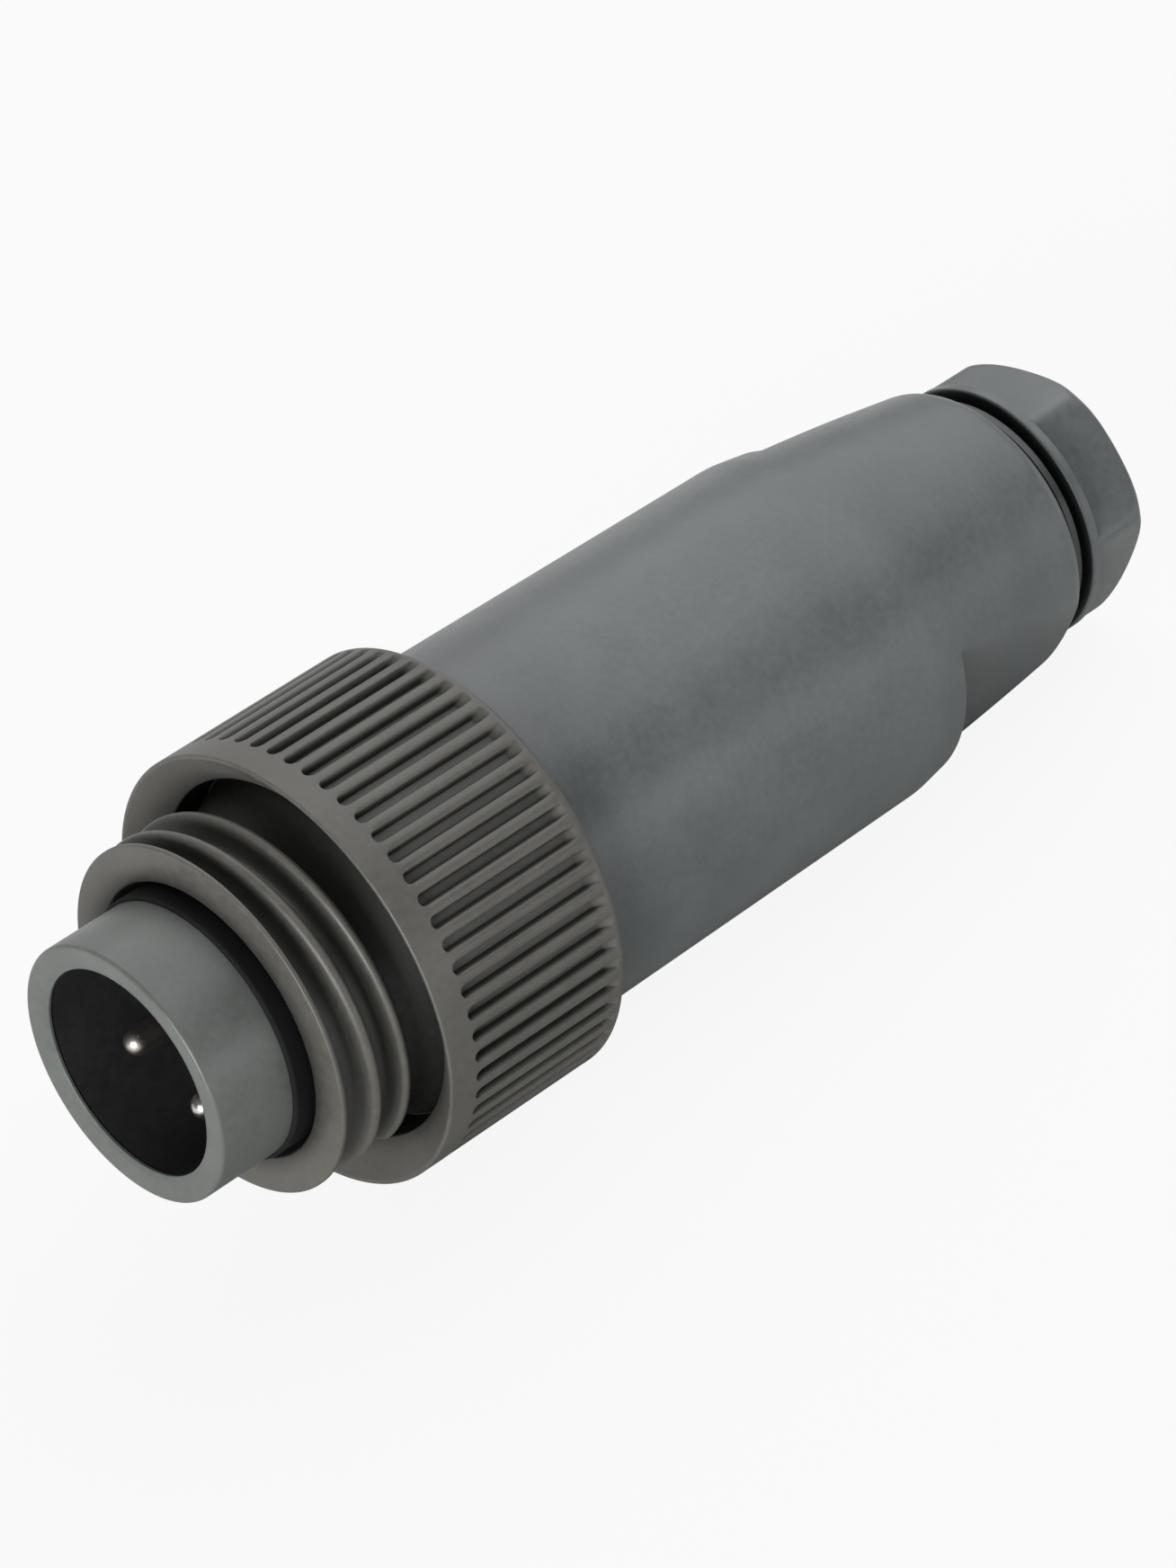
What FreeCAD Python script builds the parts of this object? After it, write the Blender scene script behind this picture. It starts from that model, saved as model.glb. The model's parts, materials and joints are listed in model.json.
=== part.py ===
import FreeCAD, Part
import math
import os
from FreeCAD import Matrix, Placement, Rotation, Vector

# A straight male cable plug with a screw coupling, three contacts and earth, and a hexagon gland nut.
# It lies as it comes to rest, on the rear rim of its coupling ring and on the collar of its gland nut.
# Lengths are in millimetres. Every piece is drawn about the plug's own axis, where a station is
# the distance behind the mating face and an angle is counted from the top, and is laid down at the end.

# Fits between pieces
PUSH_FIT = 0.03         # radial room of a piece that is pushed into its seat
THREAD_FIT = 0.1        # radial room between two threads, drawn at their meeting diameter
RUNNING_FIT = 0.08      # radial room of the coupling ring on the shell
AIR = 0.3               # room between pieces that must not touch
SEAT = 0.05             # axial room at a seat

# Coupling ring: threaded sleeve, web and ribbed skirt in one piece
THREAD_CREST_R = 12.0
THREAD_DEPTH = 1.5875
THREAD_PITCH = 3.175
THREAD_ROOT_ROUNDING = 0.81
THREAD_CREST_CHAMFER = 0.45
THREAD_FLANK_ANGLE = 15.0
THREAD_OVERCUT = 0.15
THREAD_CREST_ANGLE = 53.5
THREAD_CREST_STATION = 6.6
SLEEVE_START = 6.9
SLEEVE_WALL = 0.96
SLEEVE_GAP = 0.59
WEB_START = 17.5
WEB_THICKNESS = 3.0
SKIRT_START = 13.1
SKIRT_LENGTH = 14.85
SKIRT_WALL = 0.95
RECESS_WIDTH = 1.95
SKIRT_FRONT_EDGE = 0.15
SKIRT_REAR_CHAMFER = 0.5
SKIRT_BORE_CHAMFER = 0.2
RIB_COUNT = 60
RIB_SETBACK = 2.0
RIB_GROOVE_WIDTH = 0.8
RIB_GROOVE_DEPTH = 0.6
RIB_RUNOUT = 0.9
RIB_REAR_LAND = 0.2

# Contacts
CONTACT_COUNT = 4
CONTACT_CIRCLE_R = 4.35
CONTACT_R = 0.85
FIRST_CONTACT_ANGLE = 160.7
PIN_SETBACK = 3.4
EARTH_LEAD = 1.0
CONTACT_SHANK_STEP = 0.25
BARREL_R = 1.9
BARREL_LENGTH = 16.0
WIRE_HOLE_R = 1.1
WIRE_HOLE_DEPTH = 9.0
SCREW_R = 1.2
SCREW_SETBACK = 4.0
SCREW_LENGTH = 2.4
SCREW_SLOT_WIDTH = 0.4
SCREW_SLOT_DEPTH = 0.7
SCREW_WELL_R = 1.5

# Front shell
SHROUD_WALL = 1.76
SHROUD_EDGE = 0.3
RIM_CHAMFER = 0.35
RIM_DEPTH = 0.6
FLANGE_LENGTH = 2.9
SPIGOT_LENGTH = 7.4
SPIGOT_WALL = 1.7
SPIGOT_CHAMFER = 0.6

# Contact insert
LINER_WALL = 0.6
SOCKET_DEPTH = 11.0
INSERT_FLANGE_LENGTH = 2.5
INSERT_FLANGE_WIDTH = 1.3
BLOCK_WALL = 1.75
BLOCK_LENGTH = 16.0
KEY_ANGLE = 25.7
KEY_WIDTH = 1.6
KEY_HEIGHT = 0.7
KEY_SETBACK = 1.4

# Lock ring of the insert
LOCK_RING_LENGTH = 2.6
LOCK_RING_SLOTS = 4
LOCK_RING_SLOT_WIDTH = 1.4
LOCK_RING_SLOT_DEPTH = 1.0

# Ring clip in front of the web
CLIP_THICKNESS = 0.9
CLIP_SINK = 0.55
CLIP_STAND = 0.36
CLIP_GAP_ANGLE = 40.0

# Seal round the shroud at the mouth of the sleeve
SEAL_SETBACK = 1.2
SEAL_LENGTH = 2.2
SEAL_GROOVE_DEPTH = 0.3
SEAL_STAND = 0.25

# Housing sleeve
HOUSING_WALL = 1.7
HOUSING_DRAFT = 0.33
HOUSING_CYLINDER_LENGTH = 35.15
HOUSING_CONE_LENGTH = 16.2
HOUSING_CONE_DROP = 2.58
HOUSING_MOUTH_CHAMFER = 0.3
HOUSING_BEND_ROUNDING = 6.0
HOUSING_END_ROUNDING = 1.6
O_RING_CORD_R = 0.5
FLATS_ACROSS = 19.0
FLATS_ANGLE = 123.0
FLATS_LENGTH = 13.9

# Cable gland
CABLE_R = 4.5
GLAND_SHOULDER = 0.25
GLAND_SEAT_LENGTH = 1.4
GLAND_STOP_LENGTH = 2.0
GLAND_STOP_GAP = 1.3
WIRING_CONE_LENGTH = 8.5
GROMMET_LENGTH = 6.6
CLAMP_LENGTH = 3.4
CLAMP_GAP = 0.2
WASHER_RIM = 0.55
WASHER_THICKNESS = 0.5
WASHER_GAP = 0.5

# Cap nut
NUT_ACROSS_FLATS = 16.0
NUT_CORNER_TRIM = 0.09
NUT_LENGTH = 5.75
NUT_COLLAR_LENGTH = 0.7
NUT_BORE_GAP = 0.75
NUT_BORE_CHAMFER = 0.5
NUT_FRONT_CHAMFER = 0.25
NUT_REAR_ROUNDING = 1.8
NUT_THREAD_LENGTH = 4.8

# Radii that follow, outwards and inwards from the coupling thread
CORE_R = THREAD_CREST_R - THREAD_DEPTH
SLEEVE_BORE_R = CORE_R - SLEEVE_WALL
SHROUD_R = SLEEVE_BORE_R - SLEEVE_GAP
MOUTH_R = SHROUD_R - SHROUD_WALL
LINER_R = MOUTH_R + LINER_WALL
SHELL_BORE_R = LINER_R + PUSH_FIT
WEB_BORE_R = SHROUD_R + RUNNING_FIT
SKIRT_FRONT_BORE_R = THREAD_CREST_R + RECESS_WIDTH
SKIRT_R = SKIRT_FRONT_BORE_R + SKIRT_WALL

# Radii that follow, outwards from the contacts
BLOCK_R = CONTACT_CIRCLE_R + BARREL_R + BLOCK_WALL
SPIGOT_BORE_R = BLOCK_R + INSERT_FLANGE_WIDTH
SPIGOT_R = SPIGOT_BORE_R + SPIGOT_WALL
HOUSING_BORE_R = SPIGOT_R + THREAD_FIT
HOUSING_R = HOUSING_BORE_R + HOUSING_WALL
HOUSING_BEND_R = HOUSING_R - HOUSING_DRAFT
HOUSING_END_R = HOUSING_BEND_R - HOUSING_CONE_DROP
FLANGE_R = HOUSING_R - AIR
SKIRT_REAR_BORE_R = HOUSING_R + AIR

# Radii that follow, outwards from the cable
CLAMP_BORE_R = CABLE_R + CLAMP_GAP
NUT_BORE_R = CABLE_R + NUT_BORE_GAP
GLAND_STOP_R = CABLE_R + GLAND_STOP_GAP
GLAND_BORE_R = NUT_ACROSS_FLATS / 2 - GLAND_SHOULDER
GROMMET_R = GLAND_BORE_R - AIR / 2
NUT_THREAD_R = GLAND_BORE_R - THREAD_FIT
WASHER_R = NUT_ACROSS_FLATS / 2 + WASHER_RIM
NUT_CORNER_R = NUT_ACROSS_FLATS / math.sqrt(3) - NUT_CORNER_TRIM

# Stations that follow, from the mating face to the cap nut
CLIP_START = WEB_START - AIR / 2 - CLIP_THICKNESS
SEAL_START = SLEEVE_START - SEAL_SETBACK
WEB_END = WEB_START + WEB_THICKNESS
SKIRT_END = SKIRT_START + SKIRT_LENGTH
FLANGE_START = WEB_END + AIR
FLANGE_END = FLANGE_START + FLANGE_LENGTH
SPIGOT_END = FLANGE_END + SPIGOT_LENGTH
INSERT_SEAT = FLANGE_START + FLANGE_LENGTH / 2
INSERT_FLANGE_START = INSERT_SEAT + SEAT
INSERT_FLANGE_END = INSERT_FLANGE_START + INSERT_FLANGE_LENGTH
LOCK_RING_START = INSERT_FLANGE_END + SEAT
BLOCK_END = INSERT_FLANGE_END + BLOCK_LENGTH
BARREL_START = BLOCK_END - BARREL_LENGTH
SCREW_STATION = BLOCK_END - SCREW_SETBACK
HOUSING_START = FLANGE_END + SEAT
HOUSING_BEND = HOUSING_START + HOUSING_CYLINDER_LENGTH
HOUSING_END = HOUSING_BEND + HOUSING_CONE_LENGTH
WASHER_START = HOUSING_END + WASHER_GAP
NUT_START = WASHER_START + WASHER_THICKNESS + WASHER_GAP
NUT_END = NUT_START + NUT_LENGTH
NUT_THREAD_START = NUT_START - NUT_THREAD_LENGTH
CLAMP_START = NUT_THREAD_START - AIR / 2 - CLAMP_LENGTH
GROMMET_START = CLAMP_START - SEAT - GROMMET_LENGTH
GLAND_SEAT = GROMMET_START - SEAT
GLAND_BORE_START = GLAND_SEAT + GLAND_SEAT_LENGTH
GLAND_STOP = GLAND_SEAT - GLAND_STOP_LENGTH
WIRING_END = GLAND_STOP - WIRING_CONE_LENGTH

# Angles that follow
CONTACT_PITCH_ANGLE = 360 / CONTACT_COUNT
EARTH_ANGLE = FIRST_CONTACT_ANGLE - CONTACT_PITCH_ANGLE
RIB_PITCH_ANGLE = 360 / RIB_COUNT


def corner_arc(before, corner, after, radius):
    """The arc that rounds a corner, as its start, middle and end points."""
    back = (before - corner).normalize()
    ahead = (after - corner).normalize()
    half = back.getAngle(ahead) / 2
    reach = radius / math.tan(half)
    bisector = (back + ahead).normalize()
    centre = corner + bisector * (radius / math.sin(half))
    return corner + back * reach, centre - bisector * radius, corner + ahead * reach


def profile(corners):
    """A closed face through (radius, station) corners; a third number rounds that corner."""
    points = [Vector(corner[0], 0, corner[1]) for corner in corners]
    roundings = [corner[2] if len(corner) > 2 else 0 for corner in corners]
    stretches = []
    for i, point in enumerate(points):
        if roundings[i]:
            stretches.append(corner_arc(points[i - 1], point, points[(i + 1) % len(points)], roundings[i]))
        else:
            stretches.append((point,))
    edges = []
    for i, stretch in enumerate(stretches):
        if len(stretch) == 3:
            edges.append(Part.Arc(*stretch).toShape())
        start = stretch[-1]
        end = stretches[(i + 1) % len(stretches)][0]
        edges.append(Part.LineSegment(start, end).toShape())
    return Part.Face(Part.Wire(edges))


def turned(corners):
    """A piece turned about the plug's axis."""
    return profile(corners).revolve(Vector(0, 0, 0), Vector(0, 0, 1), 360)


def rod(radius, start, end):
    """A round bar along the plug's axis, between two stations."""
    return Part.makeCylinder(radius, end - start, Vector(0, 0, start))


def tube(outer, inner, start, end):
    """A plain ring along the plug's axis."""
    return rod(outer, start, end).cut(rod(inner, start, end))


def at_angle(shape, angle, reach=0.0):
    """A copy moved out from the axis by reach and swung round to an angle."""
    copy = shape.copy()
    copy.translate(Vector(reach, 0, 0))
    copy.rotate(Vector(0, 0, 0), Vector(0, 0, 1), angle)
    return copy


def contact_angle(index):
    """Where a contact sits; the earth contact is the last of them."""
    return FIRST_CONTACT_ANGLE + index * CONTACT_PITCH_ANGLE


def front_shell():
    """The grey shroud, its flange and its threaded spigot."""
    clip_floor = SHROUD_R - CLIP_SINK
    seal_end = SEAL_START + SEAL_LENGTH
    seal_floor = SHROUD_R - SEAL_GROOVE_DEPTH
    return turned([
        (MOUTH_R + RIM_CHAMFER, 0),
        (SHROUD_R, 0, SHROUD_EDGE),
        (SHROUD_R, SEAL_START),
        (seal_floor, SEAL_START),
        (seal_floor, seal_end),
        (SHROUD_R, seal_end),
        (SHROUD_R, CLIP_START),
        (clip_floor, CLIP_START),
        (clip_floor, CLIP_START + CLIP_THICKNESS),
        (SHROUD_R, CLIP_START + CLIP_THICKNESS),
        (SHROUD_R, FLANGE_START),
        (FLANGE_R, FLANGE_START),
        (FLANGE_R, FLANGE_END),
        (SPIGOT_R, FLANGE_END),
        (SPIGOT_R, SPIGOT_END - SPIGOT_CHAMFER),
        (SPIGOT_R - SPIGOT_CHAMFER, SPIGOT_END),
        (SPIGOT_BORE_R, SPIGOT_END),
        (SPIGOT_BORE_R, INSERT_SEAT),
        (SHELL_BORE_R, INSERT_SEAT),
        (SHELL_BORE_R, RIM_DEPTH),
        (MOUTH_R, RIM_DEPTH),
        (MOUTH_R, RIM_CHAMFER),
    ])


def contact_insert():
    """The black insulator: a liner, a floor that holds the contacts, and the terminal block."""
    flange_r = SPIGOT_BORE_R - PUSH_FIT
    body = turned([
        (0, SOCKET_DEPTH),
        (MOUTH_R, SOCKET_DEPTH),
        (MOUTH_R, RIM_DEPTH + SEAT),
        (LINER_R, RIM_DEPTH + SEAT),
        (LINER_R, INSERT_FLANGE_START),
        (flange_r, INSERT_FLANGE_START),
        (flange_r, INSERT_FLANGE_END),
        (BLOCK_R, INSERT_FLANGE_END),
        (BLOCK_R, BLOCK_END),
        (0, BLOCK_END),
    ])
    key_start = RIM_DEPTH + KEY_SETBACK
    key = Part.makeBox(
        KEY_HEIGHT + LINER_WALL / 2, KEY_WIDTH, SOCKET_DEPTH - key_start,
        Vector(MOUTH_R - KEY_HEIGHT, -KEY_WIDTH / 2, key_start),
    )
    body = body.fuse(at_angle(key, KEY_ANGLE))
    bore = rod(CONTACT_R + CONTACT_SHANK_STEP + PUSH_FIT, SOCKET_DEPTH, BARREL_START)
    well = rod(BARREL_R + PUSH_FIT, BARREL_START - SEAT, BLOCK_END)
    side = Vector(0, 0, SCREW_STATION)
    screw_well = Part.makeCylinder(SCREW_WELL_R, BLOCK_R, side, Vector(1, 0, 0))
    cavities = []
    for index in range(CONTACT_COUNT):
        for cavity in (bore, well, screw_well):
            cavities.append(at_angle(cavity, contact_angle(index), CONTACT_CIRCLE_R))
    return body.cut(cavities).removeSplitter()


def contact(lead):
    """A turned contact: a round-tipped pin, its thicker shank and a terminal barrel."""
    tip = PIN_SETBACK - lead
    pin = rod(CONTACT_R, tip + CONTACT_R, SOCKET_DEPTH + SEAT)
    shank = rod(CONTACT_R + CONTACT_SHANK_STEP, SOCKET_DEPTH, BARREL_START + SEAT)
    ball = Part.makeSphere(CONTACT_R, Vector(0, 0, tip + CONTACT_R))
    barrel = rod(BARREL_R, BARREL_START, BLOCK_END - SEAT)
    wire_hole = rod(WIRE_HOLE_R, BLOCK_END - WIRE_HOLE_DEPTH, BLOCK_END)
    side = Vector(0, 0, SCREW_STATION)
    screw_hole = Part.makeCylinder(SCREW_R + PUSH_FIT, BARREL_R, side, Vector(1, 0, 0))
    return pin.fuse([ball, shank, barrel]).cut([wire_hole, screw_hole]).removeSplitter()


def terminal_screw():
    """A slotted grub screw that reaches down to the wire hole."""
    foot = WIRE_HOLE_R
    head = foot + SCREW_LENGTH
    screw = Part.makeCylinder(SCREW_R, SCREW_LENGTH, Vector(foot, 0, SCREW_STATION), Vector(1, 0, 0))
    slot = Part.makeBox(
        SCREW_SLOT_DEPTH, 2 * SCREW_R, SCREW_SLOT_WIDTH,
        Vector(head - SCREW_SLOT_DEPTH, -SCREW_R, SCREW_STATION - SCREW_SLOT_WIDTH / 2),
    )
    return screw.cut(slot)


def insert_lock_ring():
    """The ring that screws into the shell behind the insert, with slots for its key."""
    end = LOCK_RING_START + LOCK_RING_LENGTH
    ring = tube(SPIGOT_BORE_R - PUSH_FIT, BLOCK_R + AIR / 2, LOCK_RING_START, end)
    slot = Part.makeBox(
        SPIGOT_BORE_R, LOCK_RING_SLOT_WIDTH, LOCK_RING_SLOT_DEPTH,
        Vector(0, -LOCK_RING_SLOT_WIDTH / 2, end - LOCK_RING_SLOT_DEPTH),
    )
    return ring.cut([at_angle(slot, i * 360 / LOCK_RING_SLOTS) for i in range(LOCK_RING_SLOTS)])


def thread_groove():
    """The coarse right-hand groove round the sleeve: a round root, steep flanks and eased crests."""
    flank = math.radians(THREAD_FLANK_ANGLE)
    first_crest = THREAD_CREST_STATION - THREAD_CREST_ANGLE / 360 * THREAD_PITCH
    start = first_crest - THREAD_PITCH / 2
    turns = math.ceil((WEB_START + THREAD_PITCH / 2 - start) / THREAD_PITCH)
    root_r = CORE_R + THREAD_ROOT_ROUNDING * (1 - math.sin(flank))
    root = THREAD_ROOT_ROUNDING * math.cos(flank)
    edge_r = THREAD_CREST_R - THREAD_CREST_CHAMFER
    edge = root + (edge_r - root_r) * math.tan(flank)
    outside_r = THREAD_CREST_R + THREAD_OVERCUT
    outside = edge + outside_r - edge_r
    half = [(outside_r, outside), (edge_r, edge), (root_r, root)]
    lower = [Vector(radius, 0, start - offset) for radius, offset in half]
    upper = [Vector(radius, 0, start + offset) for radius, offset in reversed(half)]
    sides = [Part.makePolygon(lower), Part.makePolygon(upper + lower[:1])]
    root_arc = Part.Arc(lower[-1], Vector(CORE_R, 0, start), upper[0]).toShape()
    outline = Part.Wire(sides[0].Edges + [root_arc] + sides[1].Edges)
    path = Part.makeLongHelix(THREAD_PITCH, turns * THREAD_PITCH, THREAD_CREST_R)
    path.translate(Vector(0, 0, start))
    groove = Part.Wire(path).makePipeShell([outline], True, True)
    return groove.common(rod(outside_r + AIR, 0, WEB_START))


def rib_groove():
    """One groove of the ribbed skirt, with a square front end and a sloping rear end."""
    start = SKIRT_START + RIB_SETBACK
    end = SKIRT_END - SKIRT_REAR_CHAMFER - RIB_REAR_LAND
    floor_r = SKIRT_R - RIB_GROOVE_DEPTH
    outside_r = SKIRT_R + RIB_GROOVE_DEPTH
    side = Part.makePolygon([
        Vector(floor_r, -RIB_GROOVE_WIDTH / 2, start),
        Vector(outside_r, -RIB_GROOVE_WIDTH / 2, start),
        Vector(outside_r, -RIB_GROOVE_WIDTH / 2, end + RIB_RUNOUT),
        Vector(floor_r, -RIB_GROOVE_WIDTH / 2, end - RIB_RUNOUT),
        Vector(floor_r, -RIB_GROOVE_WIDTH / 2, start),
    ])
    return Part.Face(side).extrude(Vector(0, RIB_GROOVE_WIDTH, 0))


def coupling_ring():
    """The coupling ring, moulded in one piece."""
    body = turned([
        (SLEEVE_BORE_R, SLEEVE_START),
        (THREAD_CREST_R, SLEEVE_START),
        (THREAD_CREST_R, WEB_START),
        (SKIRT_FRONT_BORE_R, WEB_START),
        (SKIRT_FRONT_BORE_R, SKIRT_START),
        (SKIRT_R, SKIRT_START, SKIRT_FRONT_EDGE),
        (SKIRT_R, SKIRT_END - SKIRT_REAR_CHAMFER),
        (SKIRT_R - SKIRT_REAR_CHAMFER, SKIRT_END),
        (SKIRT_REAR_BORE_R + SKIRT_BORE_CHAMFER, SKIRT_END),
        (SKIRT_REAR_BORE_R, SKIRT_END - SKIRT_BORE_CHAMFER),
        (SKIRT_REAR_BORE_R, WEB_END),
        (WEB_BORE_R, WEB_END),
        (WEB_BORE_R, WEB_START),
        (SLEEVE_BORE_R, WEB_START),
    ])
    groove = rib_groove()
    grooves = [at_angle(groove, (i + 0.5) * RIB_PITCH_ANGLE) for i in range(RIB_COUNT)]
    return body.cut(grooves).cut(thread_groove())


def ring_clip():
    """The open spring ring that keeps the coupling ring on the shell."""
    start = CLIP_START + SEAT / 2
    end = start + CLIP_THICKNESS - SEAT
    inner = SHROUD_R - CLIP_SINK + PUSH_FIT
    outer = SHROUD_R + CLIP_STAND
    section = profile([(inner, start), (outer, start), (outer, end), (inner, end)])
    clip = section.revolve(Vector(0, 0, 0), Vector(0, 0, 1), 360 - CLIP_GAP_ANGLE)
    return at_angle(clip, CLIP_GAP_ANGLE / 2)


def interface_seal():
    """The flat rubber ring that seals the mated pair, in its groove on the shroud."""
    start = SEAL_START + SEAT / 2
    end = start + SEAL_LENGTH - SEAT
    inner = SHROUD_R - SEAL_GROOVE_DEPTH + PUSH_FIT
    outer = SHROUD_R + SEAL_STAND
    return turned([(inner, start), (outer, start, SEAL_STAND), (outer, end, SEAL_STAND), (inner, end)])


def wrench_flat():
    """The waste beyond one wrench flat of the housing."""
    size = 2 * HOUSING_R
    return Part.makeBox(size, size, size, Vector(FLATS_ACROSS / 2, -size / 2, HOUSING_END - FLATS_LENGTH))


def housing_sleeve():
    """The long housing: a drafted cylinder, a cone with two wrench flats, and the gland's bore."""
    seal_r = HOUSING_BORE_R + 2 * O_RING_CORD_R
    seal_end = HOUSING_START + 2 * O_RING_CORD_R + SEAT
    body = turned([
        (seal_r, HOUSING_START),
        (HOUSING_R, HOUSING_START, HOUSING_MOUTH_CHAMFER),
        (HOUSING_BEND_R, HOUSING_BEND, HOUSING_BEND_ROUNDING),
        (HOUSING_END_R, HOUSING_END, HOUSING_END_ROUNDING),
        (GLAND_BORE_R, HOUSING_END),
        (GLAND_BORE_R, GLAND_BORE_START),
        (GLAND_STOP_R, GLAND_SEAT),
        (GLAND_STOP_R, GLAND_STOP),
        (HOUSING_BORE_R, WIRING_END),
        (HOUSING_BORE_R, seal_end),
        (seal_r, seal_end),
    ])
    flats = [at_angle(wrench_flat(), FLATS_ANGLE + turn) for turn in (0, 180)]
    return body.cut(flats)


def housing_o_ring():
    """The seal between the shell's flange and the housing, carried in the housing's mouth."""
    centre_r = HOUSING_BORE_R + O_RING_CORD_R
    station = HOUSING_START + O_RING_CORD_R + SEAT / 2
    return Part.makeTorus(centre_r, O_RING_CORD_R - SEAT, Vector(0, 0, station))


def cable_grommet():
    """The rubber bush that seals on the cable."""
    end = GROMMET_START + GROMMET_LENGTH
    taper_end = GROMMET_START + GLAND_SEAT_LENGTH + SEAT
    return turned([
        (CABLE_R, GROMMET_START),
        (GROMMET_R - GLAND_BORE_R + GLAND_STOP_R, GROMMET_START),
        (GROMMET_R, taper_end),
        (GROMMET_R, end),
        (CABLE_R, end),
    ])


def clamp_ring():
    """The ring between the grommet and the cap nut, so that the nut turns without twisting the rubber."""
    return tube(GROMMET_R, CLAMP_BORE_R, CLAMP_START, CLAMP_START + CLAMP_LENGTH)


def thrust_washer():
    """The thin washer that shows between the housing and the cap nut."""
    return tube(WASHER_R, NUT_THREAD_R + THREAD_FIT, WASHER_START, WASHER_START + WASHER_THICKNESS)


def cap_nut():
    """The hexagon gland nut, with its round front collar and its hollow threaded shank."""
    corner_r = NUT_ACROSS_FLATS / 2 / math.cos(math.pi / 6)
    first = Vector(corner_r, 0, NUT_START)
    corners = [Rotation(Vector(0, 0, 1), 30 + 60 * i).multVec(first) for i in range(7)]
    hexagon = Part.Face(Part.makePolygon(corners)).extrude(Vector(0, 0, NUT_LENGTH))
    envelope = turned([
        (0, NUT_START),
        (NUT_CORNER_R, NUT_START),
        (NUT_CORNER_R, NUT_END, NUT_REAR_ROUNDING),
        (0, NUT_END),
    ])
    collar = turned([
        (0, NUT_START),
        (NUT_CORNER_R - NUT_FRONT_CHAMFER, NUT_START),
        (NUT_CORNER_R, NUT_START + NUT_FRONT_CHAMFER),
        (NUT_CORNER_R, NUT_START + NUT_COLLAR_LENGTH),
        (0, NUT_START + NUT_COLLAR_LENGTH),
    ])
    shank = rod(NUT_THREAD_R, NUT_THREAD_START, NUT_START + NUT_LENGTH / 2)
    bore = turned([
        (0, NUT_THREAD_START),
        (NUT_BORE_R, NUT_THREAD_START),
        (NUT_BORE_R, NUT_END - NUT_BORE_CHAMFER),
        (NUT_BORE_R + NUT_BORE_CHAMFER, NUT_END),
        (0, NUT_END),
    ])
    return hexagon.common(envelope).fuse([collar, shank]).cut(bore).removeSplitter()


def build_pieces():
    """Every piece by name, still about the plug's own axis."""
    pieces = {
        "front_shell": front_shell(),
        "contact_insert": contact_insert(),
        "insert_lock_ring": insert_lock_ring(),
        "coupling_ring": coupling_ring(),
        "ring_clip": ring_clip(),
        "interface_seal": interface_seal(),
        "housing_sleeve": housing_sleeve(),
        "housing_o_ring": housing_o_ring(),
        "cable_grommet": cable_grommet(),
        "clamp_ring": clamp_ring(),
        "thrust_washer": thrust_washer(),
        "cap_nut": cap_nut(),
    }
    for index in range(CONTACT_COUNT - 1):
        angle = contact_angle(index)
        pieces[f"contact_pin_{index + 1}"] = at_angle(contact(0), angle, CONTACT_CIRCLE_R)
    pieces["earth_pin"] = at_angle(contact(EARTH_LEAD), EARTH_ANGLE, CONTACT_CIRCLE_R)
    for index in range(CONTACT_COUNT):
        angle = contact_angle(index)
        pieces[f"terminal_screw_{index + 1}"] = at_angle(terminal_screw(), angle, CONTACT_CIRCLE_R)
    return pieces


def resting_place(pieces):
    """The placement that lays the plug on the ring's rear rim and the cap nut's collar."""
    collar_station = NUT_START + NUT_COLLAR_LENGTH
    ring_station = SKIRT_END - SKIRT_REAR_CHAMFER
    lean = math.atan2(SKIRT_R - NUT_CORNER_R, collar_station - ring_station)
    rearward = Vector(math.cos(lean), 0, -math.sin(lean))
    upward = Vector(math.sin(lean), 0, math.cos(lean))
    sideways = rearward.cross(upward)
    turn = Placement(Matrix(
        upward.x, sideways.x, rearward.x, 0,
        upward.y, sideways.y, rearward.y, 0,
        upward.z, sideways.z, rearward.z, 0,
        0, 0, 0, 1,
    ))
    box = FreeCAD.BoundBox()
    for shape in pieces.values():
        laid = shape.copy()
        laid.Placement = turn.multiply(laid.Placement)
        box.add(laid.optimalBoundingBox(False))
    middle = Vector((box.XMin + box.XMax) / 2, (box.YMin + box.YMax) / 2, box.ZMin)
    return Placement(-middle, turn.Rotation)


def main():
    os.makedirs("parts", exist_ok=True)
    pieces = build_pieces()
    place = resting_place(pieces)
    print("mating face centre", place.Base, "axis", place.Rotation.multVec(Vector(0, 0, 1)))
    for name, shape in pieces.items():
        shape.Placement = place.multiply(shape.Placement)
        shape.exportStep(f"parts/{name}.step")
        print(name, len(shape.Solids), "solid", shape.isValid(), round(shape.Volume, 2))


main()
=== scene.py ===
# %% [markdown]
# A cable plug for power, lying on a pale table. It is a real assembly: a shrouded contact
# carrier, a coupling ring with a coarse round thread and a ribbed grip, a long tapered
# housing and a hexagon gland nut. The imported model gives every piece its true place, so
# this lesson only gives the pieces fine edges, true threads and real finishes.

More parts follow.
